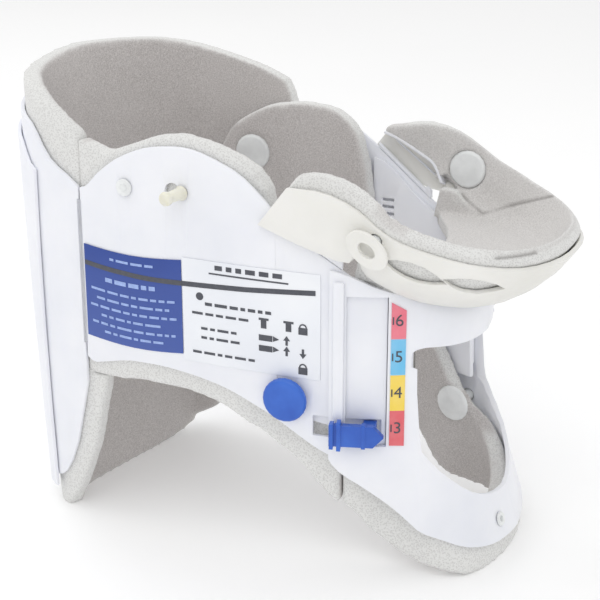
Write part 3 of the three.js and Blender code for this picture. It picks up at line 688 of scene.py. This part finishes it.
def ridge(name, points, material, body):
    """A thin moulded bead along a path, tapered at both ends."""
    curve = bpy.data.curves.new(name, "CURVE")
    curve.dimensions = "3D"
    curve.bevel_depth = RIDGE_RADIUS
    curve.bevel_resolution = 3
    curve.use_fill_caps = True
    path = smooth_path([placed(p) for p in points])
    spline = curve.splines.new("POLY")
    spline.points.add(len(path) - 1)
    for i, (point, at) in enumerate(zip(spline.points, path)):
        point.co = (*at, 1)
        point.radius = min(1.0, 0.35 + 0.3 * min(i, len(path) - 1 - i))
    mesh = mesh_of(curve)
    shade(mesh)
    return new_piece(name, mesh, material, body)


# ---- prints on the wall ---------------------------------------------------------------------------
# Runs round the wall, heights and depths are in millimetres.
STICKER = {"from": 2.6, "to": 38.4, "sag": 1.3}
PRINT_FACE = 0.38                        # depth of the labels' face on the wall
SCALE_FACE = 2.08                        # depth of the size scales' face on the wall
PRINT_THICKNESS = 0.05
BAR_STEP = 4.0                           # longest straight piece of a bar on the curved wall

DIGIT_SIZE, DIGIT_AT = 5.2, 107.2
MARK_AT, MARK_WIDTH, MARK_HEIGHT = 105.2, 0.4, 2.4

SIZING_LINE = ((2.8, 88.0), (18, 87.8), (38.5, 86.6), (60, 87.6), (82.5, 89.2))
SIZING_LINE_HALF = 0.8

# Rows of small print: where each starts, its height, its length and how tall its dashes are. Those
# of the sticker are centred, so they have no start.
LABEL_ROWS = ((46.5, 80.6, 24, 1.0), (42, 77.4, 19, 0.8), (45, 72.6, 12, 0.8),
              (45, 69.6, 13, 0.8), (42, 64.6, 21, 0.8))
STICKER_MIDDLE = 20.4
STICKER_ROWS = ((90.9, 16, 0.8), (83.4, 20, 1.4), (79.8, 31, 0.8), (77.0, 27, 0.8),
                (74.2, 32, 0.8), (71.4, 24, 0.8), (68.6, 31, 0.8), (66.0, 22, 0.8))

PIN_SYMBOLS = (66, 74)
PADLOCK_AT, PADLOCK_HEIGHTS = 78.6, (77.8, 65)
ARROWS = ((73.4, 73, True), (73.4, 69.6, True), (78.6, 69.4, False))
POINTER_ROWS = (73, 69.6)
HOLE_AT, HOLE_RADIUS, HOLE_SIDES = (44.7, 83.3), 1.25, 24


def sag(s):
    """How far the sticker droops between its ends, in millimetres."""
    along = (s - STICKER["from"]) / (STICKER["to"] - STICKER["from"])
    return STICKER["sag"] * math.sin(math.pi * along) if 0 < along < 1 else 0


def on_wall(flat, s, z, offset, side="near"):
    """Wraps a flat mesh, in millimetres, onto the wall as a thin closed print."""
    bm = bmesh.new()
    bm.from_mesh(flat)
    bmesh.ops.triangulate(bm, faces=bm.faces)
    back = bmesh.ops.extrude_face_region(bm, geom=bm.faces[:])
    for vertex in (v for v in back["geom"] if isinstance(v, bmesh.types.BMVert)):
        vertex.co.z += PRINT_THICKNESS
    turn = -1 if side == "far" else 1
    for vertex in bm.verts:
        x, y, depth = vertex.co
        at = s + turn * x
        vertex.co = wall(at, z + y - sag(at), offset + depth, side)
    bmesh.ops.recalc_face_normals(bm, faces=bm.faces)
    return mesh_from(bm, "print")


def polygons(*outlines):
    """A flat mesh of polygons, each a list of (x, y)."""
    bm = bmesh.new()
    for outline in outlines:
        bm.faces.new([bm.verts.new((x, y, 0)) for x, y in outline])
    return mesh_from(bm, "flat")


def rectangle(x, y, width, height):
    return [(x, y), (x + width, y), (x + width, y + height), (x, y + height)]


def bar(x, y, width, height):
    """A horizontal bar as a row of short quads that can follow a curved wall."""
    count = max(1, math.ceil(width / BAR_STEP))
    cut = [x + width * i / count for i in range(count + 1)]
    return [rectangle(a, y, b - a, height) for a, b in zip(cut, cut[1:])]


def sloping_bar(start, end, half):
    """A bar from one point to another, as a row of short pieces."""
    count = math.ceil((end[0] - start[0]) / BAR_STEP)
    path = [[a + (b - a) * k / count for a, b in zip(start, end)] for k in range(count + 1)]
    return [[(xa, za - half), (xb, zb - half), (xb, zb + half), (xa, za + half)]
            for (xa, za), (xb, zb) in zip(path, path[1:])]


def dashes(x, y, width, height, seed, gap=0.9):
    """A row of short dashes, which stands for a line of small print."""
    shapes = []
    at = x
    i = 0
    while at < x + width - 1.2:
        length = 1.4 + 6.8 * abs(noise.noise(Vector((seed * 3.1, i * 1.7, 0.3))))
        length = min(length, x + width - at)
        shapes += bar(at, y, length, height)
        at += length + gap
        i += 1
    return shapes


def arrow(x, y, size, up):
    """A triangular head over a short stem."""
    reach = size * (0.7 if up else -0.7)
    head, stem = size * 0.5, size * 0.17
    shapes = [[(x - head, y), (x + head, y), (x, y + reach)],
              [(x - stem, y - reach), (x + stem, y - reach), (x + stem, y), (x - stem, y)]]
    return shapes if up else [shape[::-1] for shape in shapes]


def padlock(x, y, size, steps=8):
    """A solid body under a half-round shackle."""
    inner, outer = size * 0.26, size * 0.4

    def on_arch(radius, k):
        angle = math.pi * k / steps
        return (x + radius * math.cos(angle), y + radius * math.sin(angle))

    shackle = [[on_arch(inner, k), on_arch(outer, k), on_arch(outer, k + 1), on_arch(inner, k + 1)]
               for k in range(steps)]
    return shackle + [rectangle(x - size * 0.45, y - size * 0.7, size * 0.9, size * 0.7)]


def flat_text(words, size):
    """Flat mesh of a number, in millimetres, centred."""
    curve = bpy.data.curves.new("text", "FONT")
    curve.body = words
    curve.size = size
    curve.align_x = "CENTER"
    curve.align_y = "CENTER"
    return mesh_of(curve)


def print_sizes(material):
    """The size numbers on both scales, smallest at the foot, each with a short mark beside it."""
    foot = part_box("near_size_scale")[0].z / MM - ORIGIN.z
    for side in SIDES:
        for i in range(SIZES):
            number = SIZE_FIRST + i
            digit = on_wall(flat_text(str(number), DIGIT_SIZE), DIGIT_AT,
                            foot + (i + 0.5) * SIZE_CELL, SCALE_FACE, side)
            new_piece(f"{side}_size_{number}", digit, material, "front")
        turn = -1 if side == "far" else 1
        marks = [[(turn * x, y) for x, y in rectangle(MARK_AT, foot + (i + 0.4) * SIZE_CELL,
                                                      MARK_WIDTH, MARK_HEIGHT)]
                 for i in range(SIZES)]
        new_piece(f"{side}_size_marks", on_wall(polygons(*marks), 0, 0, SCALE_FACE, side),
                  material, "front")


def print_on_labels(name, shapes, material):
    """Shapes drawn in runs and heights of the near wall, as one print."""
    mesh = on_wall(polygons(*shapes), 0, 0, PRINT_FACE)
    new_piece(name, mesh, material, "shell")


def sizing_line(material):
    """The line that crosses both labels."""
    shapes = []
    for start, end in zip(SIZING_LINE, SIZING_LINE[1:]):
        shapes += sloping_bar(start, end, SIZING_LINE_HALF)
    print_on_labels("sizing_line", shapes, material)


def small_print(material):
    """Rows of dashes and simple symbols on the clear label."""
    shapes = []
    for i, row in enumerate(LABEL_ROWS):
        shapes += dashes(*row, i + 1)
    for s in PIN_SYMBOLS:
        shapes += bar(s - 1.6, 78.6, 3.2, 0.7) + bar(s - 0.9, 76, 1.8, 2.6)
    for z in PADLOCK_HEIGHTS:
        shapes += padlock(PADLOCK_AT, z, 3.2)
    for s, z, up in ARROWS:
        shapes += arrow(s, z, 2.2, up)
    for z in POINTER_ROWS:
        shapes += bar(64.4, z - 1, 4.4, 1.9) + [[(69, z - 0.9), (71, z), (69, z + 0.9)]]
    shapes += dashes(50, 92.4, 22, 1.5, 31, 1.3) + bar(48, 90.9, 26, 0.5)
    print_on_labels("small_print", shapes, material)


def sticker_print(material):
    """Rows of dashes on the blue sticker."""
    shapes = []
    for i, (z, width, height) in enumerate(STICKER_ROWS):
        shapes += dashes(STICKER_MIDDLE - width / 2, z, width, height, i + 11)
    print_on_labels("sticker_print", shapes, material)


def locating_hole(material):
    """A disc of painted shade on the label, standing for the dark inside of a small hole through it."""
    angles = [math.tau * i / HOLE_SIDES for i in range(HOLE_SIDES)]
    ring = [(HOLE_RADIUS * math.cos(a), HOLE_RADIUS * math.sin(a)) for a in angles]
    # The dark ink here is painted shade for the depth of the hole.
    mesh = on_wall(polygons(ring), *HOLE_AT, PRINT_FACE)
    new_piece("label_hole_shade", mesh, material, "shell")


# ---- the living hinge -----------------------------------------------------------------------------
HINGE_SKIN = {"from": 0.2, "width": 1.8, "foot": 60, "height": 48, "face": 0.03}
HINGE_SKIN_THICKNESS = 0.25 * MM
HINGE_CELLS = (8, 12)                    # round the wall, and up
HINGE_REACH = 0.9 * MM                   # of the blend, to each side of the fold


def hinge_skin(material):
    """The thin fold of sheet that joins the back panel to the near side panel."""
    columns, rows = HINGE_CELLS
    bm = bmesh.new()
    grid = [[bm.verts.new(wall(HINGE_SKIN["from"] + HINGE_SKIN["width"] * i / columns,
                               HINGE_SKIN["foot"] + HINGE_SKIN["height"] * j / rows,
                               HINGE_SKIN["face"]))
             for j in range(rows + 1)] for i in range(columns + 1)]
    for a, b in zip(grid, grid[1:]):
        for k in range(rows):
            bm.faces.new((a[k], b[k], b[k + 1], a[k + 1]))
    bmesh.ops.solidify(bm, geom=bm.faces[:], thickness=HINGE_SKIN_THICKNESS)
    bmesh.ops.recalc_face_normals(bm, faces=bm.faces)
    mesh = mesh_from(bm, "hinge_skin")
    shade(mesh)
    piece = bpy.data.objects.new("hinge_skin", mesh)
    bpy.context.scene.collection.objects.link(piece)
    mesh.materials.append(material)
    x, y, z = hinge_point()
    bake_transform(piece, "back", "shell", start=(x, y + HINGE_REACH, z), end=(x, y - HINGE_REACH, z))


# ---- stage ----------------------------------------------------------------------------------------
FLOOR_REACH = 3.0                        # metres from the middle of the floor to its edges
FLOOR_GLOW = 0.08
STUDIO_LIGHT = 0.78
LIGHT_TARGET = Vector((0, 0, 0.06))
LIGHTS = (("key", (-0.6, -0.2, 0.8), 0.7, 1.5),         # name, place, size, power
          ("top", (0.05, 0.65, 0.95), 0.9, 2.8),
          ("fill", (0.5, -0.9, 0.5), 0.8, 0.6))

CAMERA_AZIMUTH, CAMERA_ELEVATION = math.radians(294), math.radians(20)
CAMERA_DISTANCE, CAMERA_LENS = 0.5, 91.5
CAMERA_TARGET = (0, -60, 70)


def stage():
    """A pale flat floor and soft studio light."""
    mesh = bpy.data.meshes.new("floor")
    corners = [(x * FLOOR_REACH, y * FLOOR_REACH, 0) for x, y in ((-1, -1), (1, -1), (1, 1), (-1, 1))]
    mesh.from_pydata(corners, [], [(0, 1, 2, 3)])
    floor = bpy.data.objects.new("floor", mesh)
    bpy.context.scene.collection.objects.link(floor)
    finish = Finish("floor", 0.6)
    finish.mottle(3, linear(250, 250, 250), linear(252, 252, 252), span=(0.3, 0.7))
    finish.shader.inputs["Emission Color"].default_value = (1, 1, 1, 1)
    finish.shader.inputs["Emission Strength"].default_value = FLOOR_GLOW
    mesh.materials.append(finish.material)

    bpy.context.scene.view_settings.view_transform = "Standard"
    world = bpy.data.worlds.new("studio")
    bpy.context.scene.world = world
    world.use_nodes = True
    background = world.node_tree.nodes["Background"]
    background.inputs["Color"].default_value = (1, 1, 1, 1)
    background.inputs["Strength"].default_value = STUDIO_LIGHT

    for name, place, size, power in LIGHTS:
        light = bpy.data.lights.new(name, "AREA")
        light.size = size
        light.energy = power
        lamp = bpy.data.objects.new(name, light)
        lamp.location = place
        lamp.rotation_euler = (LIGHT_TARGET - Vector(place)).to_track_quat("-Z", "Y").to_euler()
        bpy.context.scene.collection.objects.link(lamp)


def camera():
    """The main view: from the wearer's right, a little in front and above."""
    level_part = math.cos(CAMERA_ELEVATION)
    direction = Vector((math.sin(CAMERA_AZIMUTH) * level_part,
                        -math.cos(CAMERA_AZIMUTH) * level_part, math.sin(CAMERA_ELEVATION)))
    data = bpy.data.cameras.new("camera")
    data.lens = CAMERA_LENS
    data.sensor_width = 36
    data.clip_start = 0.01
    view = bpy.data.objects.new("camera", data)
    view.location = placed(CAMERA_TARGET) + direction * CAMERA_DISTANCE
    view.rotation_euler = direction.to_track_quat("Z", "Y").to_euler()
    bpy.context.scene.collection.objects.link(view)
    bpy.context.scene.camera = view


# ---- assembly -------------------------------------------------------------------------------------
camera()
stage()
PANEL = panel_plastic()
CHIN = chin_plastic()
FOAM = grey_foam()
RIVET = rivet_plastic()
BLUE = blue_plastic()
NAVY = navy_strap()
DARK_INK = ink("dark_ink", 74, 76, 84)
PALE_INK = ink("pale_ink", 150, 172, 222)

for node in ("back_panel", "back_stiffener", "front_plate", "grip_tab"):
    rounded(node, PANEL, 0.35)
rounded("tube_hook", hook_plastic(), 0.3, 3)
for side in SIDES:
    rounded(f"{side}_side_panel", PANEL, 0.35)
    rounded(f"{side}_guide_rail", PANEL, 0.25)
    rounded(f"{side}_rack_bead", PANEL, 0.4, 3)
    rounded(f"{side}_edge_bead", PANEL, 0.4, 3)
    rounded(f"{side}_rail_spacer", PANEL, 0.2)
    rounded(f"{side}_eyelet", CHIN, 0.45, 3)
    rounded(f"{side}_safety_lock", BLUE, 0.3)
    rounded(f"{side}_latch", BLUE, 0.3)
    for rivet in ("side_rivet", "chest_rivet", "chin_rivet"):
        rounded(f"{side}_{rivet}", RIVET, 0.3)
    rounded(f"{side}_size_scale", size_label(), 0.05)
rounded("chin_cup", CHIN, 0.4)
rounded("front_rivet", RIVET, 0.15)
rounded("sizing_sticker", blue_label(), 0.05)
rounded("instruction_label", clear_label(), 0.05)
for node in ("closure_strap", "strap_anchor", "loop_patch"):
    rounded(node, NAVY, 0.3)

for number, node in enumerate(("near_side_pad", "far_side_pad", "back_pad", "chest_pad", "chin_pad")):
    foam_pad(node, FOAM, WAVE_SHIFT * number)

wing_lining(PANEL)
for number, points in enumerate(WING_RIDGES):
    ridge(f"wing_ridge_{number + 1}", points, PANEL, "shell")
print_sizes(DARK_INK)
sizing_line(DARK_INK)
small_print(DARK_INK)
sticker_print(PALE_INK)
locating_hole(DARK_INK)
hinge_skin(PANEL)
